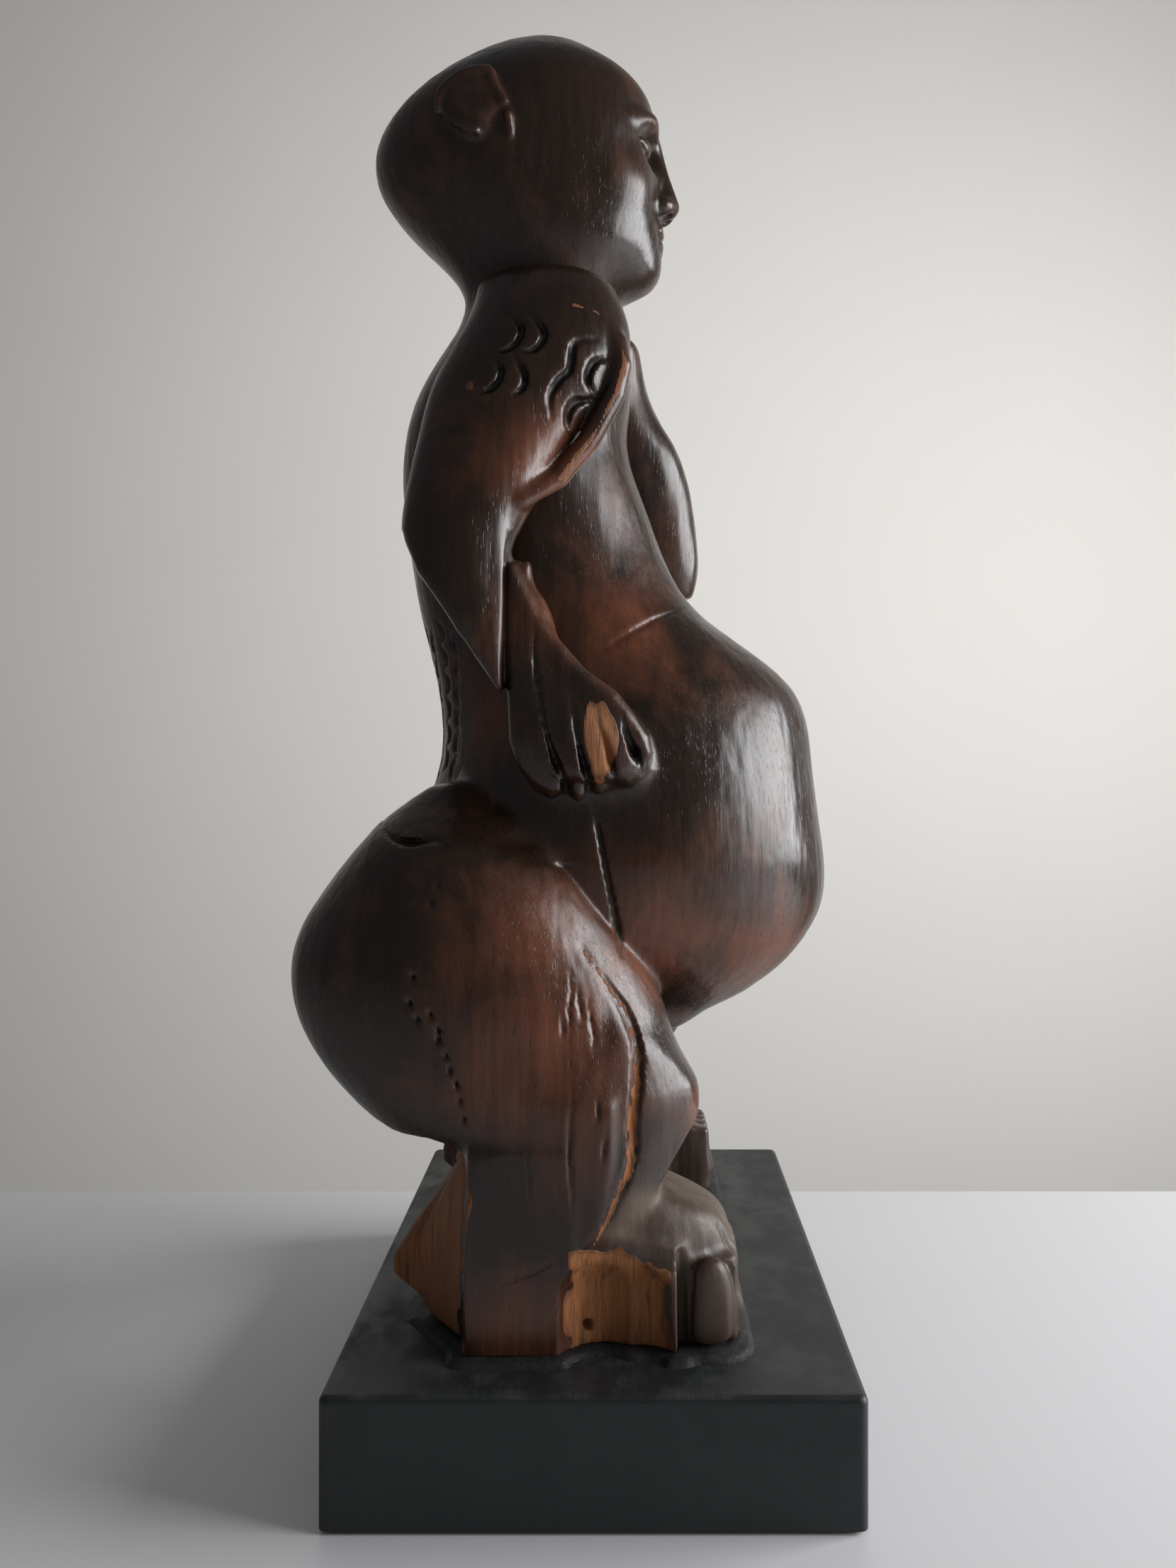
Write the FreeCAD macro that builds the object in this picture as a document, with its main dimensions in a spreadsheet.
import FreeCAD, Part
import math
import os

import Sketcher

# Carved hardwood figure of a squatting ancestor on a black painted plinth.
#
# Millimetres, +Z up. X is the way the figure faces, +Y is the figure's own left, and the
# origin is the centre of the felt's underside, on the surface that the object stands on.
#
# The object comes apart into: the figure, carved from one log; the plinth board; two thin
# beds of hard filler that level the feet on the board; four wood screws with washers that
# come up through the board into the feet; and the felt glued under the board.

VECTOR = FreeCAD.Vector
SIDES = {"right": -1, "left": 1}
TOES = 5
OVERCUT = 1.0  # how far a cutting tool passes the face that it cuts

# ---------------------------------------------------------------- driving dimensions
DIMENSIONS = {
    # Plinth board: depth runs front to back under the figure, length from side to side.
    "plinth_depth": 200.0,
    "plinth_length": 278.0,
    "plinth_thickness": 48.5,
    "plinth_edge_radius": 3.5,
    "plinth_top_radius": 2.8,
    # Felt glued under the board, a little smaller than it.
    "felt_thickness": 1.5,
    "felt_inset": 2.0,
    # Filler bed under each foot, spread past the sole.
    "bed_thickness": 2.5,
    "bed_margin": 7.0,
    "bed_corner_radius": 9.0,
    "bed_top_radius": 1.5,
    # Wood screws: shank, head, and the head's recess for a flat driver.
    "screw_diameter": 6.0,
    "screw_length": 70.0,
    "screw_tip": 8.0,
    "screw_point_radius": 0.5,
    "screw_head_diameter": 12.0,
    "screw_head_height": 4.0,
    "slot_width": 1.6,
    "slot_depth": 2.0,
    # Washers under the heads.
    "washer_diameter": 18.0,
    "washer_thickness": 1.5,
    # Holes for the screws.
    "counterbore_depth": 14.0,
    "bore_clearance": 0.5,
    "counterbore_clearance": 1.0,
    "pilot_clearance": 0.15,
    "pilot_end_room": 3.0,
    # Stance: the middle of each foot from the mid-plane, and the screws' places in it.
    "stance_half": 84.0,
    "heel_screw_x": -30.0,
    "toe_screw_x": 16.0,
    # Foot: heel block, keel behind it, arch, and five toes.
    "heel_back_x": -49.0,
    "heel_length": 39.0,
    "heel_width": 50.0,
    "heel_height": 78.0,
    "heel_outset": 4.0,
    "keel_length": 36.0,
    "keel_width": 34.0,
    "keel_point_width": 8.0,
    "keel_height": 100.0,
    "keel_point_height": 22.0,
    "keel_inset": 14.0,
    "arch_length": 44.0,
    "arch_width": 46.0,
    "arch_height": 50.0,
    "arch_toe_height": 38.0,
    "toe_width": 8.6,
    "toe_gap": 1.2,
    "toe_height": 32.0,
    "toe_root_x": 20.0,
    "little_toe_length": 14.0,
    "toe_length": 36.0,
    "toe_outset": 14.5,
    # Levels of the body, each above the one before, from the soles up.
    "knee_rise": 88.0,
    "hip_rise": 50.0,
    "belly_rise": 60.0,
    "chest_rise": 160.0,
    "head_rise": 150.0,
}

# Which rises add up to each level, starting at the soles.
SOLE = "<<sizes>>.felt_thickness + <<sizes>>.plinth_thickness + <<sizes>>.bed_thickness"
RISES = ["knee", "hip", "belly", "chest", "head"]

# The carving is a set of skins lofted through level stations, each an ellipse. A station is
# its level, its height above that level, and the middle and half size of the ellipse:
# x runs forward, y out from the mid-plane (legs: out from stance_half where the level is
# the sole or the knee), deep is the half size along X and wide along Y, never above deep.
TRUNK = {
    "groin": dict(level="belly", z=-95, x=4, deep=30, wide=26),
    "seat": dict(level="belly", z=-80, x=-2, deep=57, wide=52),
    "low_belly": dict(level="belly", z=-60, x=2, deep=86, wide=67),
    "round_belly": dict(level="belly", z=-40, x=4, deep=99, wide=76),
    "full_belly": dict(level="belly", z=-20, x=6.5, deep=99, wide=79),
    "navel": dict(level="belly", z=0, x=9, deep=94, wide=79),
    "high_belly": dict(level="belly", z=30, x=12, deep=87, wide=75),
    "belly_top": dict(level="belly", z=60, x=8, deep=84, wide=65),
    "waist": dict(level="chest", z=-60, x=-20, deep=65, wide=53),
    "ribs": dict(level="chest", z=-38, x=-29, deep=60, wide=50),
    "breast": dict(level="chest", z=-10, x=-36, deep=56.5, wide=51),
    "armpit": dict(level="chest", z=20, x=-39.5, deep=52, wide=51.5),
    "neck_root": dict(level="chest", z=50, x=-33, deep=47, wide=46),
    "neck": dict(level="head", z=-66, x=-28, deep=36, wide=34),
    "jaw": dict(level="head", z=-48, x=-24, deep=50, wide=40),
    "cheek": dict(level="head", z=-28, x=-33.5, deep=60.5, wide=47),
    "temple": dict(level="head", z=-8, x=-39.5, deep=66, wide=51),
    "brow": dict(level="head", z=12, x=-38, deep=64, wide=51),
    "forehead": dict(level="head", z=28, x=-32, deep=55, wide=46),
    "hairline": dict(level="head", z=40, x=-29, deep=42, wide=36),
    "crown": dict(level="head", z=50, x=-28, deep=27, wide=23),
    "crown_top": dict(level="head", z=56, x=-28, deep=9, wide=8),
}
LEG = {
    "ankle": dict(level="sole", z=20, x=-30, y=4, deep=20, wide=20),
    "low_shin": dict(level="knee", z=-44, x=-26, y=4, deep=25, wide=22),
    "shin": dict(level="knee", z=-30, x=-20, y=2, deep=33, wide=24),
    "calf": dict(level="knee", z=-19, x=-15, y=0, deep=44, wide=26),
    "under_knee": dict(level="knee", z=-8, x=-24, y=-4, deep=62, wide=32),
    "knee": dict(level="knee", z=4, x=-30, y=-8, deep=72, wide=38),
    "low_thigh": dict(level="hip", z=-30, x=-41.5, y=71, deep=75.5, wide=43),
    "thigh": dict(level="hip", z=-10, x=-50, y=66, deep=77, wide=48),
    "hip": dict(level="hip", z=10, x=-56, y=62, deep=72, wide=50),
    "high_hip": dict(level="hip", z=30, x=-58, y=60, deep=61, wide=48),
    "flank": dict(level="hip", z=50, x=-58.5, y=57, deep=46, wide=41),
    "flank_top": dict(level="hip", z=65, x=-60.5, y=54, deep=31, wide=27),
    "hip_crest": dict(level="hip", z=80, x=-64, y=52, deep=10, wide=9),
}
RIGHT_ARM = {
    "shoulder_top": dict(level="chest", z=82, x=-22, y=44, deep=16, wide=14),
    "shoulder": dict(level="chest", z=70, x=-22, y=49, deep=31, wide=23),
    "deltoid": dict(level="chest", z=50, x=-23, y=55, deep=37, wide=26),
    "upper": dict(level="chest", z=28, x=-31, y=61, deep=39, wide=25),
    "middle": dict(level="chest", z=4, x=-42, y=68, deep=33, wide=22),
    "lower": dict(level="chest", z=-19, x=-51, y=74, deep=28, wide=20),
    "elbow": dict(level="chest", z=-41, x=-57, y=79, deep=23, wide=17),
    "forearm": dict(level="chest", z=-61, x=-56, y=82, deep=18, wide=14),
    "cuff": dict(level="chest", z=-81, x=-52, y=84, deep=11, wide=10),
    "cuff_tip": dict(level="chest", z=-98, x=-46, y=85, deep=4, wide=4),
}
RIGHT_HAND = {
    "apex": dict(level="belly", z=112, x=-31, y=76, deep=4, wide=4),
    "wrist": dict(level="belly", z=94, x=-30, y=77, deep=10, wide=10),
    "palm_heel": dict(level="belly", z=75, x=-27, y=78, deep=13, wide=12),
    "palm": dict(level="belly", z=60, x=-20, y=78, deep=18, wide=13),
    "knuckles": dict(level="belly", z=44, x=-8, y=78, deep=26, wide=13),
    "fingers": dict(level="belly", z=29, x=-4.5, y=79, deep=27, wide=12),
    "finger_ends": dict(level="belly", z=17, x=-3, y=80, deep=17, wide=10),
    "finger_tips": dict(level="belly", z=11, x=-2, y=80, deep=8, wide=6),
}
LEFT_ARM = {
    "shoulder_top": dict(level="chest", z=84, x=-6, y=44, deep=16, wide=14),
    "shoulder": dict(level="chest", z=72, x=-5, y=50, deep=25, wide=22),
    "deltoid": dict(level="chest", z=52, x=-2, y=56, deep=28, wide=24),
    "upper": dict(level="chest", z=30, x=11, y=61, deep=28, wide=23),
    "middle": dict(level="chest", z=4, x=21, y=65, deep=26, wide=20),
    "lower": dict(level="chest", z=-18, x=29, y=68, deep=21, wide=18),
    "elbow": dict(level="chest", z=-35, x=35, y=69, deep=15, wide=15),
    "elbow_tip": dict(level="chest", z=-46, x=41, y=69, deep=6, wide=6),
}
LEFT_HAND = {
    "forearm_root": dict(level="belly", z=134, x=26, y=70, deep=14, wide=12),
    "forearm": dict(level="belly", z=110, x=20, y=74, deep=14, wide=13),
    "wrist": dict(level="belly", z=85, x=14, y=77, deep=13, wide=12),
    "palm": dict(level="belly", z=64, x=8, y=78, deep=18, wide=13),
    "knuckles": dict(level="belly", z=47, x=4, y=78, deep=26, wide=13),
    "fingers": dict(level="belly", z=31, x=2, y=79, deep=27, wide=12),
    "finger_ends": dict(level="belly", z=19, x=1, y=80, deep=17, wide=10),
    "finger_tips": dict(level="belly", z=13, x=0, y=80, deep=8, wide=6),
}
EAR = {
    "lobe": dict(level="head", z=-10, x=-53, y=48, deep=4, wide=4),
    "low_ear": dict(level="head", z=-3, x=-54, y=48, deep=11, wide=6),
    "ear": dict(level="head", z=8, x=-54, y=47, deep=14, wide=7.5),
    "ear_top": dict(level="head", z=18, x=-54, y=46, deep=9, wide=5.5),
    "ear_tip": dict(level="head", z=22, x=-54, y=45, deep=4, wide=4),
}
# Each skin: its stations and the side that it is on, none for the trunk.
SKINS = {
    "trunk": (TRUNK, None),
    "right_leg": (LEG, "right"),
    "left_leg": (LEG, "left"),
    "right_arm": (RIGHT_ARM, "right"),
    "right_hand": (RIGHT_HAND, "right"),
    "left_arm": (LEFT_ARM, "left"),
    "left_hand": (LEFT_HAND, "left"),
    "right_ear": (EAR, "right"),
    "left_ear": (EAR, "left"),
}
# Names that the sheet gives each table of stations.
TABLES = {"trunk": TRUNK, "leg": LEG, "right_arm": RIGHT_ARM, "right_hand": RIGHT_HAND,
          "left_arm": LEFT_ARM, "left_hand": LEFT_HAND, "ear": EAR}

doc = FreeCAD.newDocument("carved_ancestor_figure")
sheet = doc.addObject("Spreadsheet::Sheet", "sizes")


def write_sheet():
    """Put every driving dimension in the sheet as a plain number with its own alias."""
    values = dict(DIMENSIONS)
    for table, stations in TABLES.items():
        for name, station in stations.items():
            for key in ("x", "y", "z", "deep", "wide"):
                if key in station:
                    values[f"{table}_{name}_{key}"] = station[key]
    for row, (alias, value) in enumerate(values.items(), start=1):
        sheet.set(f"A{row}", alias)
        sheet.set(f"B{row}", str(value))
        sheet.setAlias(f"B{row}", alias)
    doc.recompute()


def bind(thing, **expressions):
    """Bind properties to expressions; __ in a keyword stands for a dot in the path."""
    for path, expression in expressions.items():
        thing.setExpression(path.replace("__", "."), str(expression))


def size(alias):
    return f"<<sizes>>.{alias}"


def place(thing, x, y, z):
    bind(thing, Placement__Base__x=x, Placement__Base__y=y, Placement__Base__z=z)


def level(name):
    """Height of a body level above the origin, as an expression."""
    rises = [] if name == "sole" else RISES[:RISES.index(name) + 1]
    return SOLE + "".join(f" + {size(rise + '_rise')}" for rise in rises)


def station_ellipse(skin, table, name, station, sign):
    """One level ellipse of a skin, bound to the sheet."""
    ellipse = doc.addObject("Part::Ellipse", f"{skin}_{name}")
    cell = f"{table}_{name}"
    bind(ellipse, MajorRadius=size(f"{cell}_deep"), MinorRadius=size(f"{cell}_wide"))
    out = "0"
    if sign:
        out = size(f"{cell}_y")
        if table == "leg" and station["level"] != "hip":
            out = f"{size('stance_half')} + {out}"
    place(ellipse, size(f"{cell}_x"), f"{sign} * ({out})",
          f"{level(station['level'])} + {size(cell + '_z')}")
    return ellipse


def carved_skin(skin):
    """A closed solid lofted through a table's stations."""
    stations, side = SKINS[skin]
    table = next(name for name, rows in TABLES.items() if rows is stations)
    loft = doc.addObject("Part::Loft", f"skin_{skin}")
    loft.Sections = [station_ellipse(skin, table, name, station, SIDES.get(side, 0))
                     for name, station in stations.items()]
    loft.Solid = True
    loft.Ruled = False
    return loft


def block(name, length, width, height, x, y, z):
    """A box bound to the sheet, given by its corner."""
    solid = doc.addObject("Part::Box", name)
    bind(solid, Length=length, Width=width, Height=height)
    place(solid, x, y, z)
    return solid


def across(sign, offset, width):
    """Lowest Y of a width centred offset outwards from the middle of the foot."""
    middle = f"{sign} * ({size('stance_half')} + ({offset}))"
    return f"{middle} - ({width}) / 2"


def foot(side):
    """Heel block, keel, arch and toes of one foot, all flat at the sole."""
    sign = SIDES[side]
    pieces = [block(
        f"heel_{side}", size("heel_length"), size("heel_width"), size("heel_height"),
        size("heel_back_x"), across(sign, size("heel_outset"), size("heel_width")), SOLE)]

    keel = doc.addObject("Part::Wedge", f"keel_{side}")
    half = f"{size('keel_width')} / 2"
    half_point = f"{size('keel_point_width')} / 2"
    bind(keel, Xmin=f"-({half})", Xmax=half, X2min=f"-({half_point})", X2max=half_point,
         Ymin="0", Ymax=f"{size('keel_length')} + {size('heel_length')} / 2",
         Zmin="0", Zmax=size("keel_height"), Z2min="0", Z2max=size("keel_point_height"))
    keel.Placement = FreeCAD.Placement(VECTOR(), FreeCAD.Rotation(VECTOR(0, 0, 1), 90))
    place(keel, f"{size('heel_back_x')} + {size('heel_length')} / 2",
          f"{sign} * ({size('stance_half')} - {size('keel_inset')})", SOLE)
    pieces.append(keel)

    arch = doc.addObject("Part::Wedge", f"arch_{side}")
    half = f"{size('arch_width')} / 2"
    bind(arch, Xmin=f"-({half})", Xmax=half, X2min=f"-({half})", X2max=half,
         Ymin="0", Ymax=f"{size('arch_length')} + {size('heel_length')} / 2",
         Zmin="0", Zmax=size("arch_height"), Z2min="0", Z2max=size("arch_toe_height"))
    arch.Placement = FreeCAD.Placement(VECTOR(), FreeCAD.Rotation(VECTOR(0, 0, 1), -90))
    place(arch, f"{size('heel_back_x')} + {size('heel_length')} / 2",
          f"{sign} * {size('stance_half')}", SOLE)
    pieces.append(arch)

    pitch = f"({size('toe_width')} + {size('toe_gap')})"
    for number in range(TOES):
        length = size("little_toe_length" if number == 0 else "toe_length")
        offset = f"{size('toe_outset')} + {pitch} * ({1 - number})"
        pieces.append(block(
            f"toe_{side}_{number + 1}", length, size("toe_width"), size("toe_height"),
            size("toe_root_x"), across(sign, offset, size("toe_width")), SOLE))
    return pieces


def screw_places():
    """Name, X and Y of each screw, as expressions."""
    places = []
    for side, sign in SIDES.items():
        for end in ("heel", "toe"):
            places.append((f"{side}_{end}", size(f"{end}_screw_x"),
                           f"{sign} * {size('stance_half')}"))
    return places


def fuse(name, solids):
    union = doc.addObject("Part::MultiFuse", name)
    union.Shapes = solids
    return union


def carved_figure():
    """The figure from one log: skins and feet fused, with pilot holes up into the feet."""
    solids = [carved_skin(skin) for skin in SKINS]
    for side in SIDES:
        solids += foot(side)
    pilots = []
    reach = (f"{size('screw_length')} - {size('washer_thickness')} - {size('plinth_thickness')}"
             f" + {size('counterbore_depth')} - {size('bed_thickness')} + {size('pilot_end_room')}")
    for name, x, y in screw_places():
        pilot = doc.addObject("Part::Cylinder", f"pilot_{name}")
        bind(pilot, Radius=f"{size('screw_diameter')} / 2 + {size('pilot_clearance')}",
             Height=f"{reach} + {OVERCUT}")
        place(pilot, x, y, f"{SOLE} - {OVERCUT}")
        pilots.append(pilot)
    figure = doc.addObject("Part::Cut", "figure")
    figure.Base = fuse("carving", solids)
    figure.Tool = fuse("pilots", pilots)
    return figure


def origin_plane(body, role):
    return next(item for item in body.Origin.OriginFeatures if item.Role == role)


def flat_sketch(body, name):
    """A sketch on the body's XY plane."""
    sketch = body.newObject("Sketcher::SketchObject", name)
    sketch.AttachmentSupport = [(origin_plane(body, "XY_Plane"), "")]
    sketch.MapMode = "FlatFace"
    return sketch


def constrain(sketch, name, expression, *constraint):
    """Add a driving constraint and bind it to an expression."""
    index = sketch.addConstraint(Sketcher.Constraint(*constraint))
    sketch.renameConstraint(index, name)
    sketch.setExpression(f"Constraints.{name}", expression)


def rectangle(sketch, half_x, half_y, centre=("0", "0")):
    """A rectangle given by its half sizes and centre, all expressions."""
    corners = [(-1, -1), (1, -1), (1, 1), (-1, 1)]
    for start, end in zip(corners, corners[1:] + corners[:1]):
        sketch.addGeometry(Part.LineSegment(VECTOR(*start, 0), VECTOR(*end, 0)))
    for edge in range(4):
        sketch.addConstraint(Sketcher.Constraint("Coincident", edge, 2, (edge + 1) % 4, 1))
        direction = "Horizontal" if edge % 2 == 0 else "Vertical"
        sketch.addConstraint(Sketcher.Constraint(direction, edge))
    low_x = f"({centre[0]}) - ({half_x})"
    low_y = f"({centre[1]}) - ({half_y})"
    constrain(sketch, "low_x", low_x, "DistanceX", -1, 1, 0, 1, -1.0)
    constrain(sketch, "low_y", low_y, "DistanceY", -1, 1, 0, 1, -1.0)
    constrain(sketch, "span_x", f"2 * ({half_x})", "DistanceX", 0, 1, 0, 2, 2.0)
    constrain(sketch, "span_y", f"2 * ({half_y})", "DistanceY", 1, 1, 1, 2, 2.0)


def circles(sketch, radius, places):
    """Equal circles at places, which are pairs of expressions."""
    for number, (x, y) in enumerate(places):
        circle = Part.Circle(VECTOR(10 * number, 5, 0), VECTOR(0, 0, 1), 1)
        sketch.addGeometry(circle)
        constrain(sketch, f"radius_{number}", radius, "Radius", number, 1.0)
        constrain(sketch, f"x_{number}", x, "DistanceX", -1, 1, number, 3, 10.0 * number)
        constrain(sketch, f"y_{number}", y, "DistanceY", -1, 1, number, 3, 5.0)


def pad(body, sketch, name, length):
    feature = body.newObject("PartDesign::Pad", name)
    feature.Profile = sketch
    bind(feature, Length=length)
    return feature


def holes_upwards(body, name, radius, depth, places):
    """Round pockets from the underside of a body up to a depth."""
    sketch = flat_sketch(body, f"{name}_sketch")
    circles(sketch, radius, places)
    pocket = body.newObject("PartDesign::Pocket", name)
    pocket.Profile = sketch
    pocket.Reversed = True
    bind(pocket, Length=depth)
    return pocket


def upright_edges(shape):
    """Names of a shape's straight vertical edges."""
    names = []
    for number, edge in enumerate(shape.Edges, start=1):
        ends = [vertex.Point for vertex in edge.Vertexes]
        if len(ends) == 2 and abs(ends[0].z - ends[1].z) > 0.1:
            if math.hypot(ends[0].x - ends[1].x, ends[0].y - ends[1].y) < 1e-6:
                names.append(f"Edge{number}")
    return names


def top_edges(shape):
    """Names of the edges that lie in a shape's top plane."""
    top = shape.BoundBox.ZMax
    return [f"Edge{number}" for number, edge in enumerate(shape.Edges, start=1)
            if edge.BoundBox.ZMin > top - 1e-4]


def fillet(body, name, base, edges, radius):
    feature = body.newObject("PartDesign::Fillet", name)
    feature.Base = (base, edges)
    bind(feature, Radius=radius)
    return feature


def rounded_board(name, half_x, half_y, height, centre, corner, top=None):
    """A board with rounded corners, and a rounded top edge where top is given."""
    body = doc.addObject("PartDesign::Body", name)
    sketch = flat_sketch(body, f"{name}_outline")
    rectangle(sketch, half_x, half_y, centre)
    feature = pad(body, sketch, f"{name}_pad", height)
    doc.recompute()
    feature = fillet(body, f"{name}_corners", feature, upright_edges(feature.Shape), corner)
    doc.recompute()
    if top is not None:
        feature = fillet(body, f"{name}_top", feature, top_edges(feature.Shape), top)
        doc.recompute()
    return body


def plinth():
    """The board, with clearance bores and counterbores from below for the screws."""
    body = rounded_board(
        "plinth_board", f"{size('plinth_depth')} / 2", f"{size('plinth_length')} / 2",
        size("plinth_thickness"), ("0", "0"), size("plinth_edge_radius"),
        size("plinth_top_radius"))
    places = [(x, y) for name, x, y in screw_places()]
    holes_upwards(body, "screw_bores", f"{size('screw_diameter')} / 2 + {size('bore_clearance')}",
                  f"{size('plinth_thickness')} + {OVERCUT}", places)
    holes_upwards(body, "counterbores",
                  f"{size('washer_diameter')} / 2 + {size('counterbore_clearance')}",
                  size("counterbore_depth"), places)
    place(body, "0", "0", size("felt_thickness"))
    return body


def felt():
    half = [f"{size('plinth_' + side)} / 2 - {size('felt_inset')}" for side in ("depth", "length")]
    return rounded_board("felt", half[0], half[1], size("felt_thickness"), ("0", "0"),
                         size("plinth_edge_radius"))


def foot_bed(side):
    """Filler under one foot, spread past the sole all round and pierced by the screws."""
    sign = SIDES[side]
    back = f"({size('heel_back_x')} - {size('keel_length')})"
    front = f"({size('toe_root_x')} + {size('toe_length')})"
    half_x = f"({front} - {back}) / 2 + {size('bed_margin')}"
    centre_x = f"({front} + {back}) / 2"
    outer = f"({size('heel_outset')} + {size('heel_width')} / 2)"
    inner = f"({size('keel_inset')} + {size('keel_width')} / 2)"
    half_y = f"({outer} + {inner}) / 2 + {size('bed_margin')}"
    centre_y = f"({outer} - {inner}) / 2"
    body = rounded_board(f"bed_{side}", half_x, half_y, size("bed_thickness"),
                         (centre_x, f"{sign} * ({centre_y})"), size("bed_corner_radius"),
                         size("bed_top_radius"))
    places = [(size(f"{end}_screw_x"), "0") for end in ("heel", "toe")]
    holes_upwards(body, f"bed_holes_{side}",
                  f"{size('screw_diameter')} / 2 + {size('bore_clearance')}",
                  f"{size('bed_thickness')} + {OVERCUT}", places)
    place(body, "0", f"{sign} * {size('stance_half')}",
          f"{size('felt_thickness')} + {size('plinth_thickness')}")
    return body


def cylinder(name, radius, height, z):
    solid = doc.addObject("Part::Cylinder", name)
    bind(solid, Radius=radius, Height=height)
    place(solid, "0", "0", z)
    return solid


def screw(name, x, y):
    """A slotted wood screw, its head down in the counterbore and its point up."""
    radius = f"{size('screw_diameter')} / 2"
    head = cylinder(f"head_{name}", f"{size('screw_head_diameter')} / 2",
                    size("screw_head_height"), f"-{size('screw_head_height')}")
    shank = cylinder(f"shank_{name}", radius, f"{size('screw_length')} - {size('screw_tip')}", "0")
    tip = doc.addObject("Part::Cone", f"tip_{name}")
    bind(tip, Radius1=radius, Radius2=size("screw_point_radius"), Height=size("screw_tip"))
    place(tip, "0", "0", f"{size('screw_length')} - {size('screw_tip')}")
    slot = block(f"slot_{name}", f"{size('screw_head_diameter')} + 2 * {OVERCUT}",
                 size("slot_width"), f"{size('slot_depth')} + {OVERCUT}",
                 f"-({size('screw_head_diameter')} / 2 + {OVERCUT})",
                 f"-{size('slot_width')} / 2", f"-({size('screw_head_height')} + {OVERCUT})")
    body = doc.addObject("Part::Cut", f"screw_{name}")
    body.Base = fuse(f"screw_blank_{name}", [head, shank, tip])
    body.Tool = slot
    place(body, x, y, f"{size('felt_thickness')} + {size('counterbore_depth')}"
                      f" - {size('washer_thickness')}")
    return body


def washer(name, x, y):
    """A plain washer between the screw's head and the floor of the counterbore."""
    disc = cylinder(f"disc_{name}", f"{size('washer_diameter')} / 2", size("washer_thickness"), "0")
    hole = cylinder(f"hole_{name}", f"{size('screw_diameter')} / 2 + {size('bore_clearance')}",
                    f"{size('washer_thickness')} + 2 * {OVERCUT}", f"-{OVERCUT}")
    body = doc.addObject("Part::Cut", f"washer_{name}")
    body.Base = disc
    body.Tool = hole
    place(body, x, y, f"{size('felt_thickness')} + {size('counterbore_depth')}"
                      f" - {size('washer_thickness')}")
    return body


def build():
    write_sheet()
    parts = {
        "carved_figure": carved_figure(),
        "plinth": plinth(),
        "felt_sheet": felt(),
    }
    for side in SIDES:
        parts[f"foot_bed_{side}"] = foot_bed(side)
    for name, x, y in screw_places():
        parts[f"mounting_screw_{name}"] = screw(name, x, y)
        parts[f"washer_{name}"] = washer(name, x, y)
    for label, part in parts.items():
        part.Label = label
    doc.recompute()
    return parts


def check(parts):
    """Stop if any feature failed or any sub-part is not a sound solid."""
    for item in doc.Objects:
        if "Invalid" in item.State or "Error" in item.State:
            raise RuntimeError(f"{item.Name} failed to compute: {item.State}")
    for label, part in parts.items():
        shape = part.Shape
        if shape.isNull() or not shape.isValid() or not shape.Solids:
            raise RuntimeError(f"{label} has no valid solid")
        print(f"{label}: {len(shape.Solids)} solid(s), {shape.Volume / 1000:.2f} cm3")


def export(parts):
    os.makedirs("parts", exist_ok=True)
    for label, part in parts.items():
        part.Shape.exportStep(f"parts/{label}.step")


sub_parts = build()
check(sub_parts)
export(sub_parts)
